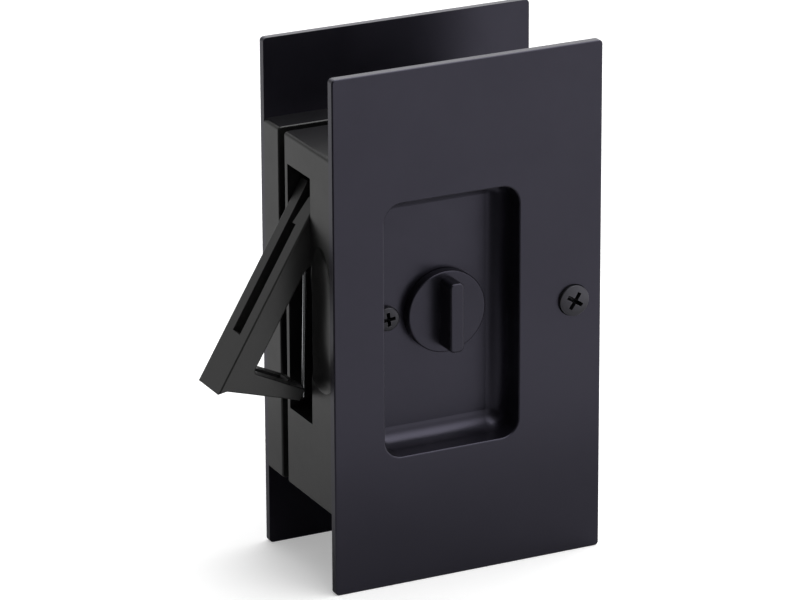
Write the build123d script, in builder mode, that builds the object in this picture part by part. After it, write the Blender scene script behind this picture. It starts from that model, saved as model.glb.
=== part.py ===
from build123d import *
from math import acos, cos, degrees, pi, radians, sin, tan
import os

# Privacy lock for a sliding pocket door: two trim plates with finger cups, a case in two halves
# with a flip-out edge pull, a hook bolt behind it, a thumbturn in front and a coin turn behind.
# Millimetres. X runs along the plates with the door's edge at minus X, Y runs through the door
# with the thumbturn at minus Y, Z is up. The origin is the middle of the plates and of the door.

os.makedirs("parts", exist_ok=True)

# Trim plates
door_thickness = 34.9
plate_height = 127.0
plate_thickness = 2.1
plate_corner = 1.0
plate_edge_round = 0.35

# Finger cups, one pressed into each plate
cup_width = 35.1
cup_height = 62.6
cup_edge_reach = 13.1
cup_depth = 9.0
cup_wall = 1.4
cup_corner = 4.5
cup_floor_round = 4.2
cup_rim_round = 0.4

# Case in two halves, with a seam between them along the door's edge
case_over_cup = 12.7
case_past_cup = 5.9
case_corner = 1.0
case_edge_round = 0.4
case_wall = 2.0
case_web = 1.7
case_rear_wall = 1.6
pocket_gap = 1.7
back_case_wall = 5.0
back_strip = 7.8
seam_gap = 3.2
seam_depth = 3.0

# Room inside the front case, open at the edge face
opening_over_pivot = 10.5
opening_under_pull = 2.0
throat_reach = 13.0
room_gap = 1.8
hook_room = 2.6

# Finger scoop beside the opening
scoop_depth = 1.9
scoop_radius = 9.0
scoop_axis_inset = 5.2
scoop_top = 20.0
scoop_bottom = -15.0
scoop_bend = 50.0
scoop_end_round = 4.0

# Edge pull, a fork that hangs on a pin and rests swung out
pull_angle = 30.5
pull_pivot_z = 26.0
pull_eye_radius = 5.2
pull_side_gap = 0.45
pull_length = 48.3
pull_slot_width = 3.9
pull_slot_end = 14.5
pull_skin = 2.0
pull_head_rise = 5.0
pull_flank_x = 4.6
pull_flank_drop = 2.4
pull_bar_thickness = 5.9
pull_bar_top_drop = 14.0
pull_toe_width = 1.8
pull_toe_rise = 1.5
pull_lip_reach = 15.3
pull_lip_drop = 39.0
pull_lip_root_step = 1.4
pull_lip_thickness = 3.0
pull_bridge_reach = 12.0
pull_corner_round = 1.0
pull_lug_width = 1.7
pull_lug_neck = 0.3
pull_lug_rise = 2.0
pull_lug_drop = 5.0
pull_lug_thickness = 0.45
pull_heel_width = 4.2
pull_heel_height = 7.0
pull_heel_round = 1.2
pull_edge_round = 0.35

# Pull pin, and the hairpin spring round a bush on it
pin_radius = 1.5
pin_fit = 0.05
pin_seat = 6.0
spring_wire = 0.9
spring_radius = 4.2
spring_leg = 45.0
spring_leg_lean = 1.3
spring_short_leg = 6.0
spring_short_lean = 9.5
rib_gap = 0.5
spring_inset = 1.4
spring_clear = 0.05
stop_overlap = 2.0

# Turn axis, and the equal gears of the turn and the hook
turn_reach = 19.4
screw_z = 0.4
gear_module = 1.05
gear_teeth = 14
gear_dedendum = 1.25
gear_backlash = 0.12
pressure_angle = 20.0
flank_points = 4
hook_travel = 90.0
sector_margin = 25.0

# Hook bolt
hook_thickness = 2.0
hook_offset = 0.5
hook_fit = 0.05
hook_boss_radius = 5.0
hook_length = 25.4
hook_back = 3.0
hook_beak = 5.0
hook_beak_length = 3.4
hook_beak_undercut = 0.5
hook_throat = 2.2
hook_tip_round = 1.6
hook_throat_round = 0.8

# Post that the hook turns on, held by the near screw
post_radius = 2.1
post_shoulder_radius = 4.0
post_shoulder_gap = 0.2
post_bore_spare = 1.0
hole_gap = 0.05
seat_fit = 0.01

# Turn hub and the square spindle through it
hub_radius = 4.6
hub_flange_over = 1.2
hub_flange = 0.8
hub_gear_margin = 0.2
hub_journal_radius = 3.45
hub_end_gap = 0.1
hub_notch = 0.5
spindle_width = 4.0
spindle_gap = 0.05
spindle_socket = 3.6

# Detent leaf under the hub
leaf_thickness = 0.4
leaf_gap = 0.1
leaf_free_reach = 6.0
leaf_seat = 2.0
leaf_side_gap = 0.4

# Thumbturn
knob_radius = 10.1
knob_height = 2.65
knob_round = 0.4
bar_width = 3.7
bar_length = 17.2
bar_height = 5.0
bar_corner = 1.2
bar_foot_round = 1.3
bar_top_round = 0.5
stem_radius = 3.95
stem_fit = 0.05

# Washers and retaining rings of both turns
washer_thickness = 0.35
knob_washer_radius = 7.5
coin_washer_radius = 6.5
clip_thickness = 0.6
clip_radius = 6.0
clip_mouth = 5.0
clip_groove = 0.55
clip_wall_gap = 0.2
knob_stem_end = 1.1

# Coin turn
coin_radius = 7.0
coin_height = 2.45
coin_round = 0.4
coin_slot_width = 1.8
coin_slot_depth = 1.3
coin_slot_length = 10.0
coin_recess_depth = 1.4
coin_recess_radius = 6.6

# Screws and the far post
near_screw_radius = 1.25
near_head_radius = 2.95
near_head_height = 1.7
near_screw_grip = 9.5
far_inset = 7.4
far_screw_radius = 2.0
far_head_radius = 3.8
far_head_rim = 0.7
far_head_crown = 0.4
far_sink_angle = 82.0
head_gap = 0.15
far_post_radius = 4.0
far_post_gap = 3.1
far_post_length = 23.5
far_post_chamfer = 0.5
far_screw_grip = 10.0
cross_width = 0.95
near_cross_length = 3.6
near_cross_depth = 1.2
near_cross_turn = 10.0
far_cross_length = 4.4
far_cross_depth = 1.6
far_cross_turn = 57.0
case_cross_length = 2.4
case_cross_depth = 0.8
case_cross_turn = 45.0
case_screw_radius = 1.25
case_head_radius = 2.2
case_head_height = 1.4
case_screw_grip = 6.0
case_screw_over_cup = 3.5
case_screw_near_inset = 3.9
case_screw_far_inset = 0.4
head_shoulder = 0.4

# Places through the door's thickness
half_door = door_thickness / 2
half_stack = half_door + plate_thickness
cup_floor_y = half_stack - cup_depth
cup_back_y = cup_floor_y - cup_wall
seam_back_y = half_door - back_strip
seam_front_y = seam_back_y - seam_gap
room_back_y = seam_front_y - case_rear_wall
room_front_y = -cup_back_y + case_web
room_mid_y = (room_back_y + room_front_y) / 2
knob_back_y = -cup_floor_y - washer_thickness
coin_front_y = cup_floor_y + washer_thickness
knob_clip_y = room_front_y + clip_wall_gap
knob_stem_end_y = knob_clip_y + clip_thickness + knob_stem_end
coin_recess_y = seam_front_y + coin_recess_depth
coin_clip_y = coin_recess_y - clip_wall_gap - clip_thickness
coin_stem_end_y = seam_front_y + hub_end_gap
far_post_y = half_door - far_post_length

# Places along the plates and up them
case_past_edge = cup_edge_reach + cup_width + cup_wall + case_past_cup
plate_width = case_past_edge + far_post_gap + far_post_radius + far_inset
edge_x = -plate_width / 2
cup_near_x = edge_x + cup_edge_reach
cup_far_x = cup_near_x + cup_width
case_far_x = edge_x + case_past_edge
case_top_z = cup_height / 2 + case_over_cup
pivot_x = edge_x + pull_eye_radius
turn_x = cup_near_x + turn_reach
far_x = plate_width / 2 - far_inset
opening_top_z = pull_pivot_z + opening_over_pivot
opening_bottom_z = pull_pivot_z - pull_length - opening_under_pull
case_screw_z = cup_height / 2 + cup_wall + case_screw_over_cup
case_screw_xs = (cup_near_x + case_screw_near_inset, cup_far_x - case_screw_far_inset)

# Gears and hook
pitch_radius = gear_module * gear_teeth / 2
tip_radius = pitch_radius + gear_module
hook_x = turn_x - 2 * pitch_radius
hook_front_y = room_mid_y + hook_offset - hook_thickness / 2
hook_back_y = hook_front_y + hook_thickness
gear_front_y = hook_front_y - hub_gear_margin
gear_back_y = hook_back_y + hub_gear_margin
flange_front_y = gear_front_y - hub_flange
flange_radius = tip_radius + hub_flange_over
hub_front_y = knob_stem_end_y + hub_end_gap
hub_back_y = room_back_y - hub_end_gap
room_far_x = turn_x + flange_radius + room_gap
room_top_z = screw_z + hook_length + hook_room

# Spring, and the rib that stops the pull and holds the spring's short leg
spring_y = room_mid_y - spring_inset
pull_width = room_back_y - room_front_y - 2 * pull_side_gap
throat_x = edge_x + throat_reach
rib_x = pivot_x + pull_eye_radius + rib_gap
rib_back_y = spring_y + spring_wire / 2 + spring_clear
nose_x = -spring_radius - spring_leg * sin(radians(spring_leg_lean)) - spring_wire / 2 - spring_clear
leaf_width = flange_front_y - hub_front_y - 2 * leaf_side_gap
leaf_mid_y = (flange_front_y + hub_front_y) / 2
leaf_top_z = screw_z - hub_radius - leaf_gap


def at_y(y):
    """Drawing plane across the door, which extrudes towards minus Y."""
    return Plane.XZ.offset(-y)


def on_axis(x, y, z):
    """Drawing plane like at_y, with its origin on an axis through x and z."""
    return Plane(origin=(x, y, z), x_dir=(1, 0, 0), z_dir=(0, -1, 0))


def on_pull(y):
    """Drawing plane that hangs from the pull's pivot and is swung out with the pull."""
    lean = radians(pull_angle)
    return Plane(origin=(pivot_x, y, pull_pivot_z), x_dir=(cos(lean), 0, -sin(lean)), z_dir=(0, -1, 0))


def outline(x_low, x_high, z_low, z_high, corner):
    """Rounded rectangle between two corners, in the sketch that is open."""
    with Locations(((x_low + x_high) / 2, (z_low + z_high) / 2)):
        RectangleRounded(x_high - x_low, z_high - z_low, corner)


def block(x_low, x_high, z_low, z_high, mode=Mode.ADD):
    """Plain rectangle between two corners, in the sketch that is open."""
    with Locations(((x_low + x_high) / 2, (z_low + z_high) / 2)):
        Rectangle(x_high - x_low, z_high - z_low, mode=mode)


def round_along(x, z, radius, y_low, y_high, mode=Mode.ADD):
    """Round pin or hole along Y, in the part that is open."""
    with BuildSketch(on_axis(x, y_high, z)) as section:
        Circle(radius)
    extrude(section.sketch, amount=y_high - y_low, mode=mode)


def ring_along(x, z, outer, inner, y_low, y_high, mode=Mode.ADD):
    """Ring or groove along Y, in the part that is open."""
    with BuildSketch(on_axis(x, y_high, z)) as section:
        Circle(outer)
        Circle(inner, mode=Mode.SUBTRACT)
    extrude(section.sketch, amount=y_high - y_low, mode=mode)


def square_along(x, z, side, y_low, y_high, mode=Mode.ADD):
    """Square bar or socket along Y, in the part that is open."""
    with BuildSketch(on_axis(x, y_high, z)) as section:
        Rectangle(side, side)
    extrude(section.sketch, amount=y_high - y_low, mode=mode)


def cut_cross(face, length, depth, turn):
    """Cross recess for a driver in the head whose face lies on a plane, in the part that is open."""
    with BuildSketch(face) as recess:
        for arm in (turn, turn + 90):
            with Locations(Location((0, 0, 0), (0, 0, arm))):
                SlotOverall(length, cross_width)
    extrude(recess.sketch, amount=-depth, mode=Mode.SUBTRACT)


def pan_screw(x, z, seat_y, way, head_radius, head_height, radius, length, cross):
    """Pan head screw on a seat, with its shank towards plus Y for way 1 and minus Y for way -1."""
    top = -way * head_height
    with BuildPart() as screw:
        with BuildSketch(Plane(origin=(x, seat_y, z))):
            with BuildLine():
                Line((0, 0), (0, top))
                TangentArc((0, top), (head_radius, -way * head_shoulder), tangent=(1, 0))
                Line((head_radius, -way * head_shoulder), (head_radius, 0))
                Line((head_radius, 0), (radius, 0))
                Line((radius, 0), (radius, way * length))
                Line((radius, way * length), (0, way * length))
                Line((0, way * length), (0, 0))
            make_face()
        revolve(axis=Axis((x, 0, z), (0, 1, 0)))
        cut_cross(Plane(origin=(x, seat_y + top, z), x_dir=(1, 0, 0), z_dir=(0, -way, 0)), *cross)
    return screw.part


def gear_face(turn):
    """Involute spur gear about the origin, with a tooth centred at the angle turn."""
    base_radius = pitch_radius * cos(radians(pressure_angle))
    root_radius = pitch_radius - gear_dedendum * gear_module
    pitch_roll = tan(radians(pressure_angle)) - radians(pressure_angle)
    half_tooth = pi / (2 * gear_teeth) - gear_backlash / (2 * pitch_radius)
    steps = [base_radius + (tip_radius - base_radius) * k / (flank_points - 1) for k in range(flank_points)]

    def polar(radius, angle):
        return (radius * cos(angle), radius * sin(angle))

    def flank(radius, side, middle):
        press = acos(base_radius / radius)
        return polar(radius, middle + side * (half_tooth + pitch_roll - tan(press) + press))

    with BuildSketch() as gear:
        with BuildLine():
            for tooth in range(gear_teeth):
                middle = radians(turn) + 2 * pi * tooth / gear_teeth
                valley = middle + pi / gear_teeth
                following = middle + 2 * pi / gear_teeth
                rising = [flank(radius, -1, middle) for radius in steps]
                falling = [flank(radius, 1, middle) for radius in reversed(steps)]
                foot_out = polar(root_radius, middle + half_tooth + pitch_roll)
                foot_in = polar(root_radius, following - half_tooth - pitch_roll)
                Spline(*rising)
                ThreePointArc(rising[-1], polar(tip_radius, middle), falling[0])
                Spline(*falling)
                Line(falling[-1], foot_out)
                ThreePointArc(foot_out, polar(root_radius, valley), foot_in)
                Line(foot_in, flank(base_radius, -1, following))
        make_face()
    return gear.sketch


def trim_plate():
    """Front plate, a flat plate with its cup pressed in and the hole for a turn's stem."""
    with BuildPart() as hollow:
        with BuildSketch(at_y(-cup_floor_y)):
            outline(cup_near_x, cup_far_x, -cup_height / 2, cup_height / 2, cup_corner)
        extrude(amount=cup_depth)
        fillet(hollow.faces().sort_by(Axis.Y)[-1].edges(), cup_floor_round)
    with BuildPart() as plate:
        with BuildSketch(at_y(-half_door)):
            RectangleRounded(plate_width, plate_height, plate_corner)
        extrude(amount=plate_thickness)
        fillet(plate.faces().sort_by(Axis.Y)[0].edges(), plate_edge_round)
        with BuildSketch(at_y(-cup_back_y)):
            outline(cup_near_x - cup_wall, cup_far_x + cup_wall, -cup_height / 2 - cup_wall,
                    cup_height / 2 + cup_wall, cup_corner + cup_wall)
        extrude(amount=half_door - cup_back_y)
        fillet(plate.faces().sort_by(Axis.Y)[-1].edges(), cup_floor_round + cup_wall)
        add(hollow.part, mode=Mode.SUBTRACT)
        fillet(plate.faces().sort_by(Axis.Y)[0].inner_wires()[0].edges(), cup_rim_round)
        round_along(turn_x, screw_z, stem_radius + stem_fit, -cup_floor_y, -cup_back_y, Mode.SUBTRACT)
    return plate.part


def retaining_ring(y_low):
    """Snap ring for a turn's stem, with its mouth downwards."""
    with BuildPart() as ring:
        with BuildSketch(on_axis(turn_x, y_low + clip_thickness, screw_z)):
            Circle(clip_radius)
            Circle(stem_radius - clip_groove + seat_fit, mode=Mode.SUBTRACT)
            block(-clip_mouth / 2, clip_mouth / 2, -clip_radius, 0, Mode.SUBTRACT)
        extrude(amount=clip_thickness)
    return ring.part


blank_plate = trim_plate()

# Front plate, with the seat for the near screw and the countersink for the far screw
with BuildPart() as front_plate:
    add(blank_plate)
    round_along(hook_x, screw_z, near_head_radius + head_gap, -half_stack, -cup_floor_y, Mode.SUBTRACT)
    round_along(hook_x, screw_z, near_screw_radius + hole_gap, -cup_floor_y, -cup_back_y, Mode.SUBTRACT)
    with Locations(on_axis(far_x, -half_stack, screw_z)):
        CounterSinkHole(far_screw_radius + hole_gap, far_head_radius + head_gap, plate_thickness,
                        far_sink_angle)
front_plate.part.label = "front_plate"
export_step(front_plate.part, "parts/front_plate.step")

# Back plate, the same pressing turned over
with BuildPart() as back_plate:
    mirror(blank_plate, about=Plane.XZ)
back_plate.part.label = "back_plate"
export_step(back_plate.part, "parts/back_plate.step")

# Finger scoop, an upright trough with a rounded foot that runs out of the wall at its top
scoop_axis_x = edge_x + scoop_depth - scoop_radius
scoop_bend_z = scoop_top - scoop_bend * sin(acos(1 - scoop_depth / scoop_bend))
with BuildPart() as scoop:
    with BuildLine(on_axis(scoop_axis_x, room_front_y - scoop_axis_inset, scoop_bend_z)) as scoop_path:
        Line((0, scoop_bottom - scoop_bend_z), (0, 0))
        JernArc((0, 0), (0, 1), scoop_bend, degrees(acos(1 - 2 * scoop_depth / scoop_bend)))
    with BuildSketch(Plane(origin=(scoop_axis_x, room_front_y - scoop_axis_inset, scoop_bottom),
                           x_dir=(1, 0, 0), z_dir=(0, 0, 1))):
        Circle(scoop_radius)
    sweep()
    fillet(scoop.edges().group_by(Axis.Z)[0], scoop_end_round)

# Front case: a pocket for the cup in front, and the room for pull, hook and hub behind
with BuildPart() as front_case:
    with BuildSketch(at_y(seam_front_y)):
        outline(edge_x, case_far_x, -case_top_z, case_top_z, case_corner)
    extrude(amount=seam_front_y + half_door)
    fillet(front_case.faces().sort_by(Axis.Y)[-1].edges(), case_edge_round)
    with BuildSketch(at_y(-cup_back_y)):
        outline(cup_near_x - cup_wall - pocket_gap, case_far_x - case_wall, case_wall - case_top_z,
                case_top_z - case_wall, case_corner)
    extrude(amount=half_door - cup_back_y, mode=Mode.SUBTRACT)
    with BuildSketch(at_y(room_back_y)):
        block(edge_x - case_corner, throat_x, opening_bottom_z, opening_top_z)
        block(throat_x, room_far_x, opening_bottom_z, room_top_z)
    extrude(amount=room_back_y - room_front_y, mode=Mode.SUBTRACT)
    add(scoop.part, mode=Mode.SUBTRACT)
    with BuildSketch(at_y(rib_back_y)):
        block(rib_x, throat_x, pull_pivot_z - spring_short_leg - stop_overlap,
              pull_pivot_z + pull_heel_height + stop_overlap)
    extrude(amount=rib_back_y - room_front_y)
    round_along(hook_x, screw_z, post_shoulder_radius, room_front_y,
                spring_y - spring_wire / 2 - post_shoulder_gap)
    round_along(hook_x, screw_z, post_radius + seat_fit, room_front_y, hook_front_y, Mode.SUBTRACT)
    round_along(hook_x, screw_z, near_screw_radius + hole_gap, -cup_back_y, room_front_y, Mode.SUBTRACT)
    round_along(hook_x, screw_z, post_shoulder_radius + hole_gap, room_back_y, seam_front_y, Mode.SUBTRACT)
    round_along(turn_x, screw_z, stem_radius + stem_fit, -cup_back_y, room_front_y, Mode.SUBTRACT)
    round_along(turn_x, screw_z, hub_journal_radius + hole_gap, room_back_y, seam_front_y, Mode.SUBTRACT)
    round_along(pivot_x, pull_pivot_z, pin_radius + seat_fit, room_front_y - pin_seat, seam_front_y,
                Mode.SUBTRACT)
    for screw_x in case_screw_xs:
        for screw_height in (-case_screw_z, case_screw_z):
            round_along(screw_x, screw_height, case_screw_radius + seat_fit, seam_front_y - case_screw_grip,
                        seam_front_y, Mode.SUBTRACT)
    with BuildSketch(at_y(leaf_mid_y + leaf_width / 2)):
        block(room_far_x, room_far_x + leaf_seat, leaf_top_z - leaf_thickness, leaf_top_z)
    extrude(amount=leaf_width, mode=Mode.SUBTRACT)
front_case.part.label = "front_case"
export_step(front_case.part, "parts/front_case.step")

# Back case: a pocket for the back cup, and the tongue that shows in the seam
with BuildPart() as back_case:
    with BuildSketch(at_y(half_door)):
        outline(edge_x, case_far_x, -case_top_z, case_top_z, case_corner)
    extrude(amount=back_strip)
    fillet(back_case.faces().sort_by(Axis.Y)[0].edges(), case_edge_round)
    with BuildSketch(at_y(seam_back_y)):
        outline(edge_x + seam_depth, case_far_x - seam_depth, seam_depth - case_top_z,
                case_top_z - seam_depth, case_corner)
    extrude(amount=seam_gap)
    with BuildSketch(at_y(half_door)):
        outline(edge_x + back_case_wall, case_far_x - back_case_wall, back_case_wall - case_top_z,
                case_top_z - back_case_wall, case_corner)
    extrude(amount=half_door - cup_back_y, mode=Mode.SUBTRACT)
    round_along(turn_x, screw_z, stem_radius + stem_fit, seam_front_y, cup_back_y, Mode.SUBTRACT)
    round_along(turn_x, screw_z, coin_recess_radius, seam_front_y, coin_recess_y, Mode.SUBTRACT)
    round_along(hook_x, screw_z, post_shoulder_radius + hole_gap, seam_front_y, cup_back_y, Mode.SUBTRACT)
    for screw_x in case_screw_xs:
        for screw_height in (-case_screw_z, case_screw_z):
            round_along(screw_x, screw_height, case_screw_radius + hole_gap, seam_front_y, cup_back_y,
                        Mode.SUBTRACT)
back_case.part.label = "back_case"
export_step(back_case.part, "parts/back_case.step")

# Edge pull: a bar whose fork spans the hook, with an inward lip and a nose that the spring presses
lean_cos = cos(radians(pull_angle))
lean_sin = sin(radians(pull_angle))
bar_face = -pull_eye_radius
lip_top = -pull_lip_drop
lip_bottom = lip_top - pull_lip_thickness
lip_root = lip_top - pull_lip_root_step
slot_back_y = room_mid_y + pull_slot_width / 2
slot_front_y = room_mid_y - pull_slot_width / 2
with BuildPart() as edge_pull:
    with BuildSketch(on_pull(room_mid_y + pull_width / 2)) as pull_side:
        with BuildLine():
            Polyline((bar_face, pull_head_rise), (bar_face, -pull_length),
                     (bar_face + pull_toe_width, pull_toe_rise - pull_length), (pull_lip_reach, lip_bottom),
                     (pull_lip_reach, lip_top), (bar_face + pull_bar_thickness, lip_root),
                     (bar_face + pull_bar_thickness, -pull_bar_top_drop), (pull_flank_x, -pull_flank_drop),
                     (0, 0), (0, pull_eye_radius), close=True)
        make_face()
        Circle(pull_eye_radius)
        inner_corner = (bar_face + pull_bar_thickness, lip_root)
        fillet(pull_side.vertices().sort_by_distance(inner_corner)[0], pull_corner_round)
    extrude(amount=pull_width)
    fillet(edge_pull.faces().sort_by(Axis.Y)[0].edges(), pull_edge_round)
    fillet(edge_pull.faces().sort_by(Axis.Y)[-1].edges(), pull_edge_round)
    with BuildSketch(on_axis(pivot_x, room_mid_y + pull_width / 2, pull_pivot_z)) as heel:
        heel_x = rib_x - pivot_x - spring_clear
        block(heel_x - pull_heel_width, heel_x, 0, pull_heel_height)
        fillet(heel.vertices().group_by(Axis.Y)[-1], pull_heel_round)
    extrude(amount=pull_width)
    with BuildSketch(on_pull(slot_back_y)):
        block(bar_face - pull_edge_round, pull_lip_reach, pull_slot_end - pull_length,
              pull_eye_radius + pull_heel_height)
        block(bar_face + pull_skin, pull_bridge_reach, -pull_length - pull_toe_rise,
              pull_slot_end - pull_length)
    extrude(amount=pull_slot_width, mode=Mode.SUBTRACT)
    with BuildSketch(on_pull(slot_back_y)):
        with BuildLine():
            Polyline((pull_bridge_reach, lip_top), ((nose_x - lip_top * lean_sin) / lean_cos, lip_top),
                     ((nose_x - lip_bottom * lean_sin) / lean_cos, lip_bottom),
                     (pull_bridge_reach, lip_bottom), close=True)
        make_face()
    extrude(amount=pull_slot_width)
    with BuildSketch(Plane(origin=(pivot_x + bar_face * lean_cos, slot_front_y,
                                   pull_pivot_z - bar_face * lean_sin),
                           x_dir=(0, 1, 0), z_dir=(-lean_cos, 0, lean_sin))):
        with BuildLine():
            Polyline((-pull_edge_round, -pull_lug_rise), (pull_lug_neck, -pull_lug_rise),
                     (pull_lug_width, pull_lug_drop), (-pull_edge_round, pull_lug_drop), close=True)
        make_face()
    extrude(amount=-pull_lug_thickness)
    round_along(pivot_x, pull_pivot_z, pin_radius + pin_fit, room_mid_y - pull_width / 2,
                room_mid_y + pull_width / 2, Mode.SUBTRACT)
edge_pull.part.label = "edge_pull"
export_step(edge_pull.part, "parts/edge_pull.step")

# Pull pin, from its seat in the front wall to the rear of the front case
with BuildPart() as pull_pin:
    round_along(pivot_x, pull_pivot_z, pin_radius, room_front_y - pin_seat, seam_front_y)
pull_pin.part.label = "pull_pin"
export_step(pull_pin.part, "parts/pull_pin.step")

# Bush that carries the spring between the pull's cheeks
with BuildPart() as spring_bush:
    ring_along(pivot_x, pull_pivot_z, spring_radius - spring_wire / 2 - spring_clear, pin_radius + pin_fit,
               slot_back_y - pull_slot_width, rib_back_y)
spring_bush.part.label = "spring_bush"
export_step(spring_bush.part, "parts/spring_bush.step")

# Pull spring, a hairpin of wire whose long leg presses on the pull's nose
leg_sin = sin(radians(spring_leg_lean))
leg_cos = cos(radians(spring_leg_lean))
short_sin = sin(radians(spring_short_lean))
short_cos = cos(radians(spring_short_lean))
leg_top = (-spring_radius * leg_cos, spring_radius * leg_sin)
leg_end = (leg_top[0] - spring_leg * leg_sin, leg_top[1] - spring_leg * leg_cos)
short_top = (spring_radius * short_cos, spring_radius * short_sin)
short_end = (short_top[0] + spring_short_leg * short_sin, short_top[1] - spring_short_leg * short_cos)
with BuildPart() as pull_spring:
    with BuildLine(on_axis(pivot_x, spring_y, pull_pivot_z)) as spring_path:
        Line(leg_end, leg_top)
        ThreePointArc(leg_top, (0, spring_radius), short_top)
        Line(short_top, short_end)
    with BuildSketch(Plane(origin=(pivot_x + leg_end[0], spring_y, pull_pivot_z + leg_end[1]),
                           x_dir=(leg_cos, 0, -leg_sin), z_dir=(leg_sin, 0, leg_cos))):
        Circle(spring_wire / 2)
    sweep()
pull_spring.part.label = "pull_spring"
export_step(pull_spring.part, "parts/pull_spring.step")

# Hook bolt, one plate with its boss, its gear sector and its hooked arm, drawn with the hook home
sector_low = radians(-hook_travel - sector_margin)
sector_mid = radians(-hook_travel / 2)
sector_high = radians(sector_margin)
sector_reach = 2 * tip_radius
beak_z = hook_length - hook_beak_length
hook_gear = gear_face(0)
with BuildPart() as hook_bolt:
    with BuildSketch(on_axis(hook_x, hook_back_y, screw_z)) as hook_side:
        add(hook_gear)
        with BuildLine():
            Polyline((0, 0), (sector_reach * cos(sector_low), sector_reach * sin(sector_low)),
                     (sector_reach * cos(sector_mid), sector_reach * sin(sector_mid)),
                     (sector_reach * cos(sector_high), sector_reach * sin(sector_high)), close=True)
        make_face(mode=Mode.INTERSECT)
        with BuildLine():
            Polyline((hook_back, 0), (hook_back, hook_length), (-hook_beak, hook_length),
                     (-hook_beak, beak_z), (-hook_throat, beak_z - hook_beak_undercut), (-hook_throat, 0),
                     close=True)
        make_face()
        fillet(hook_side.vertices().sort_by_distance((-hook_beak, hook_length))[0], hook_tip_round)
        fillet(hook_side.vertices().sort_by_distance((-hook_throat, beak_z))[0], hook_throat_round)
        Circle(hook_boss_radius)
        Circle(post_radius + hook_fit, mode=Mode.SUBTRACT)
    extrude(amount=hook_thickness)
hook_bolt.part.label = "hook_bolt"
export_step(hook_bolt.part, "parts/hook_bolt.step")

# Post that the hook turns on, with its shoulder behind the hook
with BuildPart() as pivot_post:
    round_along(hook_x, screw_z, post_radius, room_front_y, hook_back_y + post_shoulder_gap)
    round_along(hook_x, screw_z, post_shoulder_radius, hook_back_y + post_shoulder_gap, cup_back_y)
    round_along(hook_x, screw_z, near_screw_radius + seat_fit, room_front_y,
                near_screw_grip - cup_floor_y + post_bore_spare, Mode.SUBTRACT)
pivot_post.part.label = "pivot_post"
export_step(pivot_post.part, "parts/pivot_post.step")

# Turn hub: detent collar, guide flange, gear and rear journal, with a square bore
hub_gear = gear_face(180 + 180 / gear_teeth)
notch_reach = hub_radius - hub_notch
with BuildPart() as turn_hub:
    round_along(turn_x, screw_z, hub_radius, hub_front_y, hub_back_y)
    round_along(turn_x, screw_z, flange_radius, flange_front_y, gear_front_y)
    with BuildSketch(on_axis(turn_x, gear_back_y, screw_z)):
        add(hub_gear)
    extrude(amount=gear_back_y - gear_front_y)
    round_along(turn_x, screw_z, hub_journal_radius, hub_back_y, seam_front_y)
    with BuildSketch(on_axis(turn_x, flange_front_y, screw_z)):
        block(-hub_radius, hub_radius, -hub_radius, -notch_reach)
        block(notch_reach, hub_radius, -hub_radius, hub_radius)
    extrude(amount=flange_front_y - hub_front_y, mode=Mode.SUBTRACT)
    square_along(turn_x, screw_z, spindle_width + 2 * spindle_gap, hub_front_y, seam_front_y, Mode.SUBTRACT)
turn_hub.part.label = "turn_hub"
export_step(turn_hub.part, "parts/turn_hub.step")

# Detent leaf, a flat strip that is held in the room's far wall
with BuildPart() as detent_leaf:
    with BuildSketch(at_y(leaf_mid_y + leaf_width / 2)):
        block(turn_x - leaf_free_reach, room_far_x + leaf_seat, leaf_top_z - leaf_thickness, leaf_top_z)
    extrude(amount=leaf_width)
detent_leaf.part.label = "detent_leaf"
export_step(detent_leaf.part, "parts/detent_leaf.step")

# Thumbturn, a disc with a grip bar across it and a grooved stem behind
with BuildPart() as turn_knob:
    round_along(turn_x, screw_z, knob_radius, knob_back_y - knob_height, knob_back_y)
    fillet(turn_knob.edges().group_by(Axis.Y)[0], knob_round)
    with BuildSketch(on_axis(turn_x, knob_back_y - knob_height, screw_z)):
        RectangleRounded(bar_width, bar_length, bar_corner)
    extrude(amount=bar_height)
    bar_top = turn_knob.faces().sort_by(Axis.Y)[0]
    bar_foot_y = knob_back_y - knob_height
    fillet(bar_top.edges(), bar_top_round)
    foot_edges = turn_knob.edges().filter_by_position(Axis.Y, bar_foot_y, bar_foot_y)
    fillet(foot_edges.filter_by(lambda edge: edge.length < bar_length), bar_foot_round)
    round_along(turn_x, screw_z, stem_radius, knob_back_y, knob_stem_end_y)
    ring_along(turn_x, screw_z, stem_radius + clip_groove, stem_radius - clip_groove, knob_clip_y,
               knob_clip_y + clip_thickness, Mode.SUBTRACT)
    square_along(turn_x, screw_z, spindle_width + 2 * spindle_gap, knob_stem_end_y - spindle_socket,
                 knob_stem_end_y, Mode.SUBTRACT)
turn_knob.part.label = "turn_knob"
export_step(turn_knob.part, "parts/turn_knob.step")

# Washer under the thumbturn
with BuildPart() as knob_washer:
    ring_along(turn_x, screw_z, knob_washer_radius, stem_radius + stem_fit, knob_back_y, -cup_floor_y)
knob_washer.part.label = "knob_washer"
export_step(knob_washer.part, "parts/knob_washer.step")

# Retaining rings behind the front web and in front of the back web
with BuildPart() as knob_clip:
    add(retaining_ring(knob_clip_y))
knob_clip.part.label = "knob_clip"
export_step(knob_clip.part, "parts/knob_clip.step")

with BuildPart() as coin_clip:
    add(retaining_ring(coin_clip_y))
coin_clip.part.label = "coin_clip"
export_step(coin_clip.part, "parts/coin_clip.step")

# Square spindle that joins thumbturn, hub and coin turn
with BuildPart() as spindle:
    square_along(turn_x, screw_z, spindle_width, knob_stem_end_y - spindle_socket + spindle_gap,
                 coin_stem_end_y + spindle_socket - spindle_gap)
spindle.part.label = "spindle"
export_step(spindle.part, "parts/spindle.step")

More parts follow.
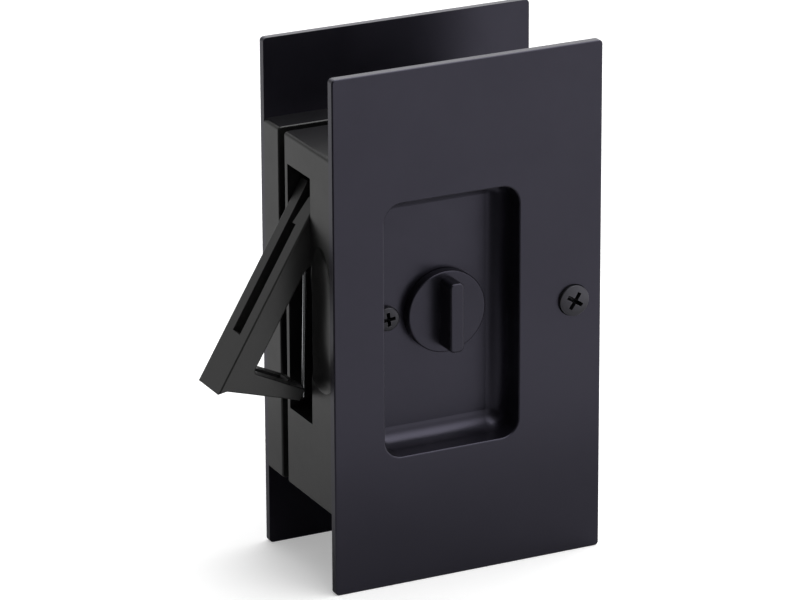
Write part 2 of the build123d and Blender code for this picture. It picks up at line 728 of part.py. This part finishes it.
# Coin turn, a slotted disc in the back cup
coin_back_y = coin_front_y + coin_height
with BuildPart() as coin_turn:
    round_along(turn_x, screw_z, coin_radius, coin_front_y, coin_back_y)
    fillet(coin_turn.edges().group_by(Axis.Y)[-1], coin_round)
    with BuildSketch(on_axis(turn_x, coin_back_y, screw_z)):
        Rectangle(coin_slot_width, coin_slot_length)
    extrude(amount=coin_slot_depth, mode=Mode.SUBTRACT)
    round_along(turn_x, screw_z, stem_radius, coin_stem_end_y, coin_front_y)
    ring_along(turn_x, screw_z, stem_radius + clip_groove, stem_radius - clip_groove, coin_clip_y,
               coin_clip_y + clip_thickness, Mode.SUBTRACT)
    square_along(turn_x, screw_z, spindle_width + 2 * spindle_gap, coin_stem_end_y,
                 coin_stem_end_y + spindle_socket, Mode.SUBTRACT)
coin_turn.part.label = "coin_turn"
export_step(coin_turn.part, "parts/coin_turn.step")

# Washer under the coin turn
with BuildPart() as coin_washer:
    ring_along(turn_x, screw_z, coin_washer_radius, stem_radius + stem_fit, cup_floor_y, coin_front_y)
coin_washer.part.label = "coin_washer"
export_step(coin_washer.part, "parts/coin_washer.step")

# Near screw, which clamps the front plate to the hook's post
with BuildPart() as near_screw:
    add(pan_screw(hook_x, screw_z, -cup_floor_y, 1, near_head_radius, near_head_height, near_screw_radius,
                  near_screw_grip, (near_cross_length, near_cross_depth, near_cross_turn)))
near_screw.part.label = "near_screw"
export_step(near_screw.part, "parts/near_screw.step")

# Far screw, a countersunk head with a raised rim and a slight crown
far_top = -far_head_rim - far_head_crown
sink_depth = (far_head_radius - far_screw_radius) / tan(radians(far_sink_angle / 2))
far_screw_length = half_stack + far_post_y + far_screw_grip
with BuildPart() as far_screw:
    with BuildSketch(Plane(origin=(far_x, -half_stack, screw_z))):
        with BuildLine():
            Line((0, 0), (0, far_top))
            TangentArc((0, far_top), (far_head_radius, -far_head_rim), tangent=(1, 0))
            Line((far_head_radius, -far_head_rim), (far_head_radius, 0))
            Line((far_head_radius, 0), (far_screw_radius, sink_depth))
            Line((far_screw_radius, sink_depth), (far_screw_radius, far_screw_length))
            Line((far_screw_radius, far_screw_length), (0, far_screw_length))
            Line((0, far_screw_length), (0, 0))
        make_face()
    revolve(axis=Axis((far_x, 0, screw_z), (0, 1, 0)))
    cut_cross(on_axis(far_x, far_top - half_stack, screw_z), far_cross_length, far_cross_depth,
              far_cross_turn)
far_screw.part.label = "far_screw"
export_step(far_screw.part, "parts/far_screw.step")

# Far post, which stands on the back plate and takes the far screw
with BuildPart() as far_post:
    round_along(far_x, screw_z, far_post_radius, far_post_y, half_door)
    chamfer(far_post.edges().group_by(Axis.Y)[0], far_post_chamfer)
    round_along(far_x, screw_z, far_screw_radius + seat_fit, far_post_y,
                far_post_y + far_screw_grip + post_bore_spare, Mode.SUBTRACT)
far_post.part.label = "far_post"
export_step(far_post.part, "parts/far_post.step")

# Case screws, from the back pocket into the front case
with BuildPart() as case_screws:
    for screw_x in case_screw_xs:
        for screw_height in (-case_screw_z, case_screw_z):
            add(pan_screw(screw_x, screw_height, cup_back_y, -1, case_head_radius, case_head_height,
                          case_screw_radius, cup_back_y - seam_front_y + case_screw_grip,
                          (case_cross_length, case_cross_depth, case_cross_turn)))
case_screws.part.label = "case_screws"
export_step(case_screws.part, "parts/case_screws.step")
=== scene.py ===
import bmesh
import bpy
from math import cos, pi, radians, sin
from mathutils import Matrix, Vector


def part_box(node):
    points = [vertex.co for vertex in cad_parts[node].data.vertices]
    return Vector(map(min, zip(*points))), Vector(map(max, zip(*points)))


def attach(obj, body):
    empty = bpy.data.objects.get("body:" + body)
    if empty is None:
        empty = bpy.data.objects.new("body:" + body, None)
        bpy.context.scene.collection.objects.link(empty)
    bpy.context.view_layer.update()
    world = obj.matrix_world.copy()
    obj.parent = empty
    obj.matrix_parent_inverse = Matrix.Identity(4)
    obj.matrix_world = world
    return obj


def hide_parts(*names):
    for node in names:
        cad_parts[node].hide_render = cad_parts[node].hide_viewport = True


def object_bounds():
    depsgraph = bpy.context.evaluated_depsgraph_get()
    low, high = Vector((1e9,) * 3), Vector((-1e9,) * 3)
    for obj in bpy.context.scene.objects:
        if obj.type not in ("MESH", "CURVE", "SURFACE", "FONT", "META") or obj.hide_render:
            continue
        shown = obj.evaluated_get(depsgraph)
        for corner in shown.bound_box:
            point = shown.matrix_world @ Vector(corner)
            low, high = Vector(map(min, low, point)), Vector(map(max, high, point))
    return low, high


# Looks of the pocket door lock: smooth black coatings on every outer piece, bare steel inside,
# a pale floor, soft studio light and the camera at the photograph's viewing angle. Metres.

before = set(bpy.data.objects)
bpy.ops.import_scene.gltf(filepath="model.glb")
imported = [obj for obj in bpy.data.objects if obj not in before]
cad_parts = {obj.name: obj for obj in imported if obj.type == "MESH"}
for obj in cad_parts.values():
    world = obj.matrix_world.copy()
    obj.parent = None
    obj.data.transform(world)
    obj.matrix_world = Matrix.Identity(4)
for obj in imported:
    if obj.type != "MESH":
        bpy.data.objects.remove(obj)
cad_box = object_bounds()

MM = 0.001

# Camera, as fitted to the corners of the two plates
CAMERA_AZIMUTH = -26.2576
CAMERA_ELEVATION = 19.8893
CAMERA_ROLL = -0.2658
CAMERA_OFFSET = (-7.4425 * MM, -1.3111 * MM)
CAMERA_DISTANCE = 1222.6743 * MM
FOCAL_PIXELS = 5160.5787
PHOTO_WIDTH = 800
SENSOR_WIDTH = 36.0

# Light: the studio's radiance by direction, as the coatings mirror it. Heights and sides are the z and x of
# a direction, and a soft patch goes from its edge to full between two cosines of the angle to its middle.
LOW_DARK_AT = -0.48
LOW_BRIGHT_AT = -0.27
LOW_DARK = 0.30
LOW_BRIGHT = 2.15
UPPER_BRIGHT_AT = -0.15
UPPER_DIM_AT = 0.15
UPPER_SHARE = 0.4
SIDE_LEFT = -0.55
SIDE_RIGHT = 0.45
SIDE_DARK = 0.43
SIDE_BRIGHT = 1.0
OVERHEAD = (0.42, -0.25, 0.87)
OVERHEAD_EDGE = (0.65, 0.92)
OVERHEAD_RADIANCE = 2.3
BEHIND = (0.42, 0.84, 0.42)
BEHIND_EDGE = (0.70, 0.92)
BEHIND_RADIANCE = 1.0
FLAG = (-0.75, -0.60, -0.20)
FLAG_EDGE = (0.15, 0.70)
FLAG_SHARE = 0.09

# Floor, the shade over it that only reflections show, and the lamp, in metres and watts
FLOOR_REACH = 12.0
FLOOR_ALBEDO = 0.8
FLOOR_GLOW = 0.35
SHADE_REACH = 0.11
SHADE_LIFT = 0.1 * MM
SHADE_ALBEDO = 0.38
LAMP_PLACE = (0.5, 0.5, 1.5)
LAMP_SIZE = (1.3, 1.0)
LAMP_POWER = 4.0

# Coatings: noise scales per metre, and the width of the rubbed edges
CLOUD_SCALE = 55.0
SPECKLE_SCALE = 2600.0
RUB_SCALE = 420.0
STREAK_SCALE = 900.0
WEAR_WIDTH = 0.25 * MM
BUMP_HEIGHT = 0.01 * MM

# Thumbturn and screws, in millimetres. A cutter starts or ends the spare length clear of its piece.
BAR_HEIGHT = 5.3
BAR_WIDTH = 3.7
BAR_LENGTH = 17.2
BAR_CORNER = 1.2
BAR_EDGE = 0.5
KNOB_EDGE = 0.35
STEM_RADIUS = 3.95
GROOVE_DEPTH = 0.55
SOCKET_CORNER = 0.2
SOCKET_GAP = 0.05
SCREW_POINT = 0.5
SPARE = 0.5

# Driver's cross: the share of its depth with straight walls, and its bottom's share of its width and reach
CROSS_TOP_SHARE = 0.15
CROSS_BOTTOM_WIDTH = 0.10
CROSS_BOTTOM_REACH = 0.84

# Corners of more degrees than this stay crisp
SHARP_ANGLE = 32


def node(tree, kind, **inputs):
    """Adds a shader node and sets its inputs by name, with spaces written as underscores."""
    made = tree.nodes.new(kind)
    for name, value in inputs.items():
        made.inputs[name.replace("_", " ")].default_value = value
    return made


def grey(value, alpha=1.0):
    """Neutral colour of one linear value."""
    return (value, value, value, alpha)


def noise(tree, place, scale, detail):
    """Noise over the object's own coordinates."""
    made = node(tree, "ShaderNodeTexNoise", Scale=scale, Detail=detail, Roughness=0.55)
    tree.links.new(place.outputs["Object"], made.inputs["Vector"])
    return made.outputs["Fac"]


def ramp(tree, source, low, high, dark, bright):
    """Maps a value from low..high to dark..bright."""
    made = node(tree, "ShaderNodeMapRange", From_Min=low, From_Max=high, To_Min=dark, To_Max=bright)
    tree.links.new(source, made.inputs["Value"])
    return made.outputs["Result"]


def join(tree, operation, first, second):
    """Two values joined by one operation."""
    made = tree.nodes.new("ShaderNodeMath")
    made.operation = operation
    tree.links.new(first, made.inputs[0])
    tree.links.new(second, made.inputs[1])
    return made.outputs["Value"]


def edges(tree, radius):
    """One along convex and concave edges, zero on flat faces."""
    round_edge = node(tree, "ShaderNodeBevel", Radius=radius)
    round_edge.samples = 4
    flat = tree.nodes.new("ShaderNodeNewGeometry")
    dot = tree.nodes.new("ShaderNodeVectorMath")
    dot.operation = "DOT_PRODUCT"
    tree.links.new(round_edge.outputs["Normal"], dot.inputs[0])
    tree.links.new(flat.outputs["Normal"], dot.inputs[1])
    return ramp(tree, dot.outputs["Value"], 0.995, 0.90, 0.0, 1.0)


def coated_metal(name, colour, worn, tint, roughness, grain, specular=0.5):
    """Smooth black coating over metal: cloudy gloss, fine grain, and edges a little rubbed."""
    made = bpy.data.materials.new(name)
    made.use_nodes = True
    tree = made.node_tree
    link = tree.links.new
    shader = tree.nodes["Principled BSDF"]
    shader.inputs["Specular IOR Level"].default_value = specular
    shader.inputs["Specular Tint"].default_value = (*tint, 1.0)
    place = tree.nodes.new("ShaderNodeTexCoord")
    cloud = noise(tree, place, CLOUD_SCALE, 3.0)
    speckle = noise(tree, place, SPECKLE_SCALE, 2.0)
    rub = noise(tree, place, RUB_SCALE, 4.0)

    tone = join(tree, "MULTIPLY", ramp(tree, cloud, 0.3, 0.7, 0.85, 1.15),
                ramp(tree, speckle, 0.3, 0.7, 0.8, 1.2))
    shade = tree.nodes.new("ShaderNodeVectorMath")
    shade.operation = "SCALE"
    shade.inputs[0].default_value = colour
    link(tone, shade.inputs["Scale"])
    wear = join(tree, "MULTIPLY", edges(tree, WEAR_WIDTH), ramp(tree, rub, 0.42, 0.62, 0.1, 0.8))
    blend = tree.nodes.new("ShaderNodeMix")
    blend.data_type = "RGBA"
    link(wear, blend.inputs["Factor"])
    link(shade.outputs["Vector"], blend.inputs["A"])
    blend.inputs["B"].default_value = (*worn, 1.0)
    link(blend.outputs["Result"], shader.inputs["Base Color"])

    gloss = join(tree, "ADD", ramp(tree, cloud, 0.3, 0.7, roughness - 0.025, roughness + 0.025),
                 ramp(tree, rub, 0.3, 0.7, -0.015, 0.015))
    link(gloss, shader.inputs["Roughness"])

    bump = node(tree, "ShaderNodeBump", Strength=grain, Distance=BUMP_HEIGHT)
    link(speckle, bump.inputs["Height"])
    link(bump.outputs["Normal"], shader.inputs["Normal"])
    return made


def bare_metal(name, colour, roughness, stretch):
    """Bare metal with fine drawn or rolled streaks along Z."""
    made = bpy.data.materials.new(name)
    made.use_nodes = True
    tree = made.node_tree
    link = tree.links.new
    shader = tree.nodes["Principled BSDF"]
    shader.inputs["Metallic"].default_value = 1.0
    place = tree.nodes.new("ShaderNodeTexCoord")
    scaling = node(tree, "ShaderNodeMapping", Scale=(STREAK_SCALE, STREAK_SCALE, STREAK_SCALE / stretch))
    link(place.outputs["Object"], scaling.inputs["Vector"])
    streak = node(tree, "ShaderNodeTexNoise", Scale=1.0, Detail=3.0, Roughness=0.6)
    link(scaling.outputs["Vector"], streak.inputs["Vector"])
    shade = tree.nodes.new("ShaderNodeVectorMath")
    shade.operation = "SCALE"
    shade.inputs[0].default_value = colour
    link(ramp(tree, streak.outputs["Fac"], 0.0, 1.0, 0.8, 1.1), shade.inputs["Scale"])
    link(shade.outputs["Vector"], shader.inputs["Base Color"])
    link(ramp(tree, streak.outputs["Fac"], 0.0, 1.0, roughness - 0.08, roughness + 0.08),
         shader.inputs["Roughness"])
    bump = node(tree, "ShaderNodeBump", Strength=0.25, Distance=BUMP_HEIGHT)
    link(streak.outputs["Fac"], bump.inputs["Height"])
    link(bump.outputs["Normal"], shader.inputs["Normal"])
    return made


def paint(material, *names):
    """Gives CAD nodes a material."""
    for name in names:
        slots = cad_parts[name].data.materials
        slots.clear()
        slots.append(material)


# Tints of the coatings' gloss, and the colours that their rubbed edges show
COOL = (0.79, 0.755, 1.0)
PALE = (0.89, 0.87, 1.0)
NEUTRAL = (1.0, 1.0, 1.0)
BARE = (0.10, 0.10, 0.105)
RUBBED = (0.025, 0.025, 0.028)

plate_black = coated_metal("plate_black", (0.0035, 0.0032, 0.0048), RUBBED, COOL, 0.34, 0.12, 0.72)
case_black = coated_metal("case_black", (0.0050, 0.0050, 0.0050), RUBBED, NEUTRAL, 0.34, 0.25, 0.56)
pull_black = coated_metal("pull_black", (0.0070, 0.0070, 0.0070), RUBBED, NEUTRAL, 0.38, 0.45, 0.72)
turn_black = coated_metal("turn_black", (0.0040, 0.0038, 0.0050), RUBBED, COOL, 0.32, 0.10, 0.64)
screw_black = coated_metal("screw_black", (0.0060, 0.0060, 0.0068), BARE, PALE, 0.33, 0.10, 0.78)
cup_screw_black = coated_metal("cup_screw_black", (0.0050, 0.0050, 0.0055), BARE, PALE, 0.36, 0.10, 0.58)
steel = bare_metal("zinc_steel", (0.52, 0.53, 0.55), 0.38, 6.0)
spring_steel = bare_metal("spring_wire", (0.72, 0.74, 0.76), 0.22, 40.0)
cast_zinc = bare_metal("cast_zinc", (0.42, 0.42, 0.44), 0.5, 1.0)
nylon = coated_metal("black_nylon", (0.010, 0.010, 0.010), (0.02, 0.02, 0.02), NEUTRAL, 0.45, 0.3)

paint(plate_black, "front_plate", "back_plate")
paint(case_black, "front_case", "back_case")
paint(pull_black, "edge_pull")
paint(turn_black, "coin_turn")
paint(steel, "hook_bolt", "pull_pin", "pivot_post", "far_post", "spindle", "case_screws")
paint(spring_steel, "pull_spring", "detent_leaf", "knob_clip", "coin_clip")
paint(cast_zinc, "turn_hub")
paint(nylon, "spring_bush", "knob_washer", "coin_washer")


# Detailed pieces: outlines are (x, z) points in millimetres about a turned piece's axis
def circle(radius, steps=96):
    """Outline of a round section."""
    return [(radius * cos(2 * pi * i / steps), radius * sin(2 * pi * i / steps)) for i in range(steps)]


def slab(half_width, half_length, corner, steps=8):
    """Outline of a rectangle with round corners."""
    points = []
    for quarter, (side, end) in enumerate(((1, 1), (-1, 1), (-1, -1), (1, -1))):
        for i in range(steps + 1):
            angle = pi / 2 * (quarter + i / steps)
            points.append((side * (half_width - corner) + corner * cos(angle),
                           end * (half_length - corner) + corner * sin(angle)))
    return points


def cross(half_width, reach, turn):
    """Outline of a driver's cross, turned by some degrees."""
    arm = [(reach, -half_width), (reach, half_width), (half_width, half_width)]
    points = []
    for quarter in range(4):
        angle = radians(turn + 90 * quarter)
        points += [(x * cos(angle) - z * sin(angle), x * sin(angle) + z * cos(angle)) for x, z in arm]
    return points


def stack(name, centre, rows):
    """Solid through outlines of one number of points, each at its own place along Y."""
    made = bmesh.new()
    rings = []
    for outline, along in rows:
        rings.append([made.verts.new((centre.x + x * MM, along * MM, centre.z + z * MM)) for x, z in outline])
    for ring, after in zip(rings, rings[1:]):
        for i, corner in enumerate(ring):
            j = (i + 1) % len(ring)
            made.faces.new((corner, ring[j], after[j], after[i]))
    made.faces.new(rings[0])
    made.faces.new(rings[-1][::-1])
    bmesh.ops.recalc_face_normals(made, faces=made.faces)
    mesh = bpy.data.meshes.new(name)
    made.to_mesh(mesh)
    made.free()
    solid = bpy.data.objects.new(name, mesh)
    bpy.context.scene.collection.objects.link(solid)
    return solid


def combine(piece, other, operation):
    """Joins another solid to a piece, or cuts it out."""
    change = piece.modifiers.new("change", "BOOLEAN")
    change.operation = operation
    change.object = other
    depsgraph = bpy.context.evaluated_depsgraph_get()
    result = bpy.data.meshes.new_from_object(piece.evaluated_get(depsgraph))
    piece.modifiers.clear()
    piece.data = result
    bpy.data.objects.remove(other)


def finish_piece(piece, node, body, material):
    """Smooth shading with crisp corners and the material; hides the CAD node that the piece stands for and
    puts the piece on its body.
    """
    piece.data.shade_smooth()
    piece.data.set_sharp_from_angle(angle=radians(SHARP_ANGLE))
    piece.modifiers.new("normals", "WEIGHTED_NORMAL").keep_sharp = True
    piece.data.materials.clear()
    piece.data.materials.append(material)
    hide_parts(node)
    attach(piece, body)


def rounded_edge(radius, edge, start, steps=8):
    """Radii and places along Y of a quarter round that ends at the piece's outer radius."""
    places = []
    for i in range(steps + 1):
        angle = pi / 2 * i / steps
        places.append((radius - edge + edge * sin(angle), start + edge * (1 - cos(angle))))
    return places


def make_screw(node, rim, edge, crown, seat, shank, sink, turn, half_width, reach, depth, finish):
    """Screw with a crowned head, a rounded rim and a driver's cross that narrows to its bottom."""
    low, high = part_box(node)
    centre = (low + high) / 2
    top, end = low.y / MM, high.y / MM
    face = [(rim - edge) * share for share in (0.08, 0.25, 0.45, 0.65, 0.85)]
    profile = [(radius, top + crown * (radius / rim) ** 2) for radius in face]
    profile += rounded_edge(rim, edge, top + crown)
    profile += [(rim, top + seat), (shank, top + seat + sink), (shank, end - SCREW_POINT),
                (shank - SCREW_POINT, end)]
    head = stack(node + "_detail", centre, [(circle(radius), along) for radius, along in profile])
    cutter = stack(node + "_cross", centre, [
        (cross(half_width, reach, turn), top - SPARE),
        (cross(half_width, reach, turn), top + CROSS_TOP_SHARE * depth),
        (cross(CROSS_BOTTOM_WIDTH * half_width, CROSS_BOTTOM_REACH * reach, turn), top + depth)])
    combine(head, cutter, "DIFFERENCE")
    finish_piece(head, node, "lock_body", finish)


def make_knob():
    """Thumbturn: a disc with a soft rim, a grip bar that stands on it, and the grooved stem behind."""
    low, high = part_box("turn_knob")
    centre = (low + high) / 2
    radius = (high.x - low.x) / 2 / MM
    top, end = low.y / MM, high.y / MM
    face = top + BAR_HEIGHT
    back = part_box("knob_washer")[0].y / MM
    ring = [edge.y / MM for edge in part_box("knob_clip")]
    profile = [(radius - KNOB_EDGE - 0.05, face)] + rounded_edge(radius, KNOB_EDGE, face)
    profile += [(radius, back), (STEM_RADIUS, back), (STEM_RADIUS, ring[0]),
                (STEM_RADIUS - GROOVE_DEPTH, ring[0]), (STEM_RADIUS - GROOVE_DEPTH, ring[1]),
                (STEM_RADIUS, ring[1]), (STEM_RADIUS, end)]
    knob = stack("turn_knob_detail", centre, [(circle(size, 128), along) for size, along in profile])
    rows = []
    for inset, along in rounded_edge(0.0, BAR_EDGE, top):
        rows.append((slab(BAR_WIDTH / 2 + inset, BAR_LENGTH / 2 + inset, BAR_CORNER + inset), along))
    rows.append((slab(BAR_WIDTH / 2, BAR_LENGTH / 2, BAR_CORNER), face + SPARE))
    combine(knob, stack("turn_bar", centre, rows), "UNION")
    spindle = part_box("spindle")
    half = (spindle[1].x - spindle[0].x) / 2 / MM + SOCKET_GAP
    socket = slab(half, half, SOCKET_CORNER)
    rows = [(socket, spindle[0].y / MM - SOCKET_GAP), (socket, end + 2 * SPARE)]
    combine(knob, stack("turn_socket", centre, rows), "DIFFERENCE")
    finish_piece(knob, "turn_knob", "turn", turn_black)


make_screw("far_screw", rim=3.8, edge=0.18, crown=0.22, seat=1.1, shank=2.0, sink=2.07, turn=57.0,
           half_width=0.52, reach=2.3, depth=2.5, finish=screw_black)
make_screw("near_screw", rim=2.95, edge=0.50, crown=0.10, seat=1.7, shank=1.25, sink=0.0, turn=6.0,
           half_width=0.46, reach=1.75, depth=1.6, finish=cup_screw_black)
make_knob()


def camera_axes():
    """Right, up and back directions of the camera."""
    azimuth = radians(CAMERA_AZIMUTH)
    elevation = radians(CAMERA_ELEVATION)
    roll = radians(CAMERA_ROLL)
    back = Vector((sin(azimuth) * cos(elevation), -cos(azimuth) * cos(elevation), sin(elevation)))
    level = Vector((0, 0, 1)).cross(back).normalized()
    rise = back.cross(level)
    right = level * cos(roll) + rise * sin(roll)
    up = rise * cos(roll) - level * sin(roll)
    return right, up, back


def make_camera():
    """The photograph's camera."""
    right, up, back = camera_axes()
    lens = bpy.data.cameras.new("camera")
    lens.sensor_width = SENSOR_WIDTH
    lens.lens = FOCAL_PIXELS * SENSOR_WIDTH / PHOTO_WIDTH
    lens.clip_start = 0.01
    lens.clip_end = 50.0
    camera = bpy.data.objects.new("camera", lens)
    place = right * CAMERA_OFFSET[0] + up * CAMERA_OFFSET[1] + back * CAMERA_DISTANCE
    turn = Matrix((right, up, back)).transposed().to_4x4()
    camera.matrix_world = Matrix.Translation(place) @ turn
    bpy.context.scene.collection.objects.link(camera)
    bpy.context.scene.camera = camera


def make_lamp():
    """Large soft lamp over the object, aimed at it, that the camera doesn't see."""
    lamp = bpy.data.lights.new("top_box", "AREA")
    lamp.shape = "RECTANGLE"
    lamp.size, lamp.size_y = LAMP_SIZE
    lamp.energy = LAMP_POWER
    box = bpy.data.objects.new("top_box", lamp)
    box.location = LAMP_PLACE
    box.rotation_mode = "QUATERNION"
    box.rotation_quaternion = (-Vector(LAMP_PLACE)).to_track_quat("-Z", "Y")
    box.visible_camera = False
    bpy.context.scene.collection.objects.link(box)


def toward(tree, place, direction, edge, outside, inside):
    """A soft patch of the studio around one direction."""
    dot = tree.nodes.new("ShaderNodeVectorMath")
    dot.operation = "DOT_PRODUCT"
    tree.links.new(place.outputs["Generated"], dot.inputs[0])
    dot.inputs[1].default_value = Vector(direction).normalized()
    return ramp(tree, dot.outputs["Value"], *edge, outside, inside)


def make_world():
    """White behind the object, bright patches overhead and behind, dimmer walls, a dark front left."""
    world = bpy.data.worlds.new("studio")
    bpy.context.scene.world = world
    world.use_nodes = True
    tree = world.node_tree
    link = tree.links.new
    tree.nodes.clear()
    place = tree.nodes.new("ShaderNodeTexCoord")
    split = tree.nodes.new("ShaderNodeSeparateXYZ")
    link(place.outputs["Generated"], split.inputs["Vector"])
    low = ramp(tree, split.outputs["Z"], LOW_DARK_AT, LOW_BRIGHT_AT, LOW_DARK, LOW_BRIGHT)
    upper = ramp(tree, split.outputs["Z"], UPPER_BRIGHT_AT, UPPER_DIM_AT, 1.0, UPPER_SHARE)
    side = ramp(tree, split.outputs["X"], SIDE_LEFT, SIDE_RIGHT, SIDE_DARK, SIDE_BRIGHT)
    flag = toward(tree, place, FLAG, FLAG_EDGE, 1.0, FLAG_SHARE)
    overhead = toward(tree, place, OVERHEAD, OVERHEAD_EDGE, 0.0, OVERHEAD_RADIANCE)
    behind = toward(tree, place, BEHIND, BEHIND_EDGE, 0.0, BEHIND_RADIANCE)
    ceiling = join(tree, "ADD", overhead, behind)
    walls = join(tree, "MULTIPLY", join(tree, "MULTIPLY", low, upper), join(tree, "MULTIPLY", side, flag))
    sky = tree.nodes.new("ShaderNodeBackground")
    link(join(tree, "ADD", walls, ceiling), sky.inputs["Strength"])
    white = node(tree, "ShaderNodeBackground", Color=grey(1.0), Strength=1.0)
    ray = tree.nodes.new("ShaderNodeLightPath")
    mix = tree.nodes.new("ShaderNodeMixShader")
    link(ray.outputs["Is Camera Ray"], mix.inputs["Fac"])
    link(sky.outputs["Background"], mix.inputs[1])
    link(white.outputs["Background"], mix.inputs[2])
    out = tree.nodes.new("ShaderNodeOutputWorld")
    link(mix.outputs["Shader"], out.inputs["Surface"])


def sheet(name, reach, height, albedo, glow):
    """Square pale sheet that belongs to the stage."""
    mesh = bpy.data.meshes.new(name)
    corners = [(-reach, -reach, height), (reach, -reach, height), (reach, reach, height),
               (-reach, reach, height)]
    mesh.from_pydata(corners, [], [(0, 1, 2, 3)])
    made = bpy.data.materials.new(name)
    made.use_nodes = True
    shader = made.node_tree.nodes["Principled BSDF"]
    shader.inputs["Base Color"].default_value = grey(albedo)
    shader.inputs["Roughness"].default_value = 0.9
    shader.inputs["Specular IOR Level"].default_value = 0.1
    shader.inputs["Emission Color"].default_value = grey(1.0)
    shader.inputs["Emission Strength"].default_value = glow
    mesh.materials.append(made)
    laid = bpy.data.objects.new(name, mesh)
    bpy.context.scene.collection.objects.link(laid)
    return laid


def make_floor():
    """Pale floor under the plates, and the shade that the plates mirror near their feet."""
    low = cad_box[0].z
    floor = sheet("floor", FLOOR_REACH, low, FLOOR_ALBEDO, FLOOR_GLOW)
    floor.visible_glossy = False
    shade = sheet("floor_shade", SHADE_REACH, low + SHADE_LIFT, SHADE_ALBEDO, 0.0)
    shade.visible_camera = False
    shade.visible_diffuse = False
    shade.visible_shadow = False


make_camera()
make_world()
make_floor()
make_lamp()
bpy.context.scene.view_settings.view_transform = "Standard"
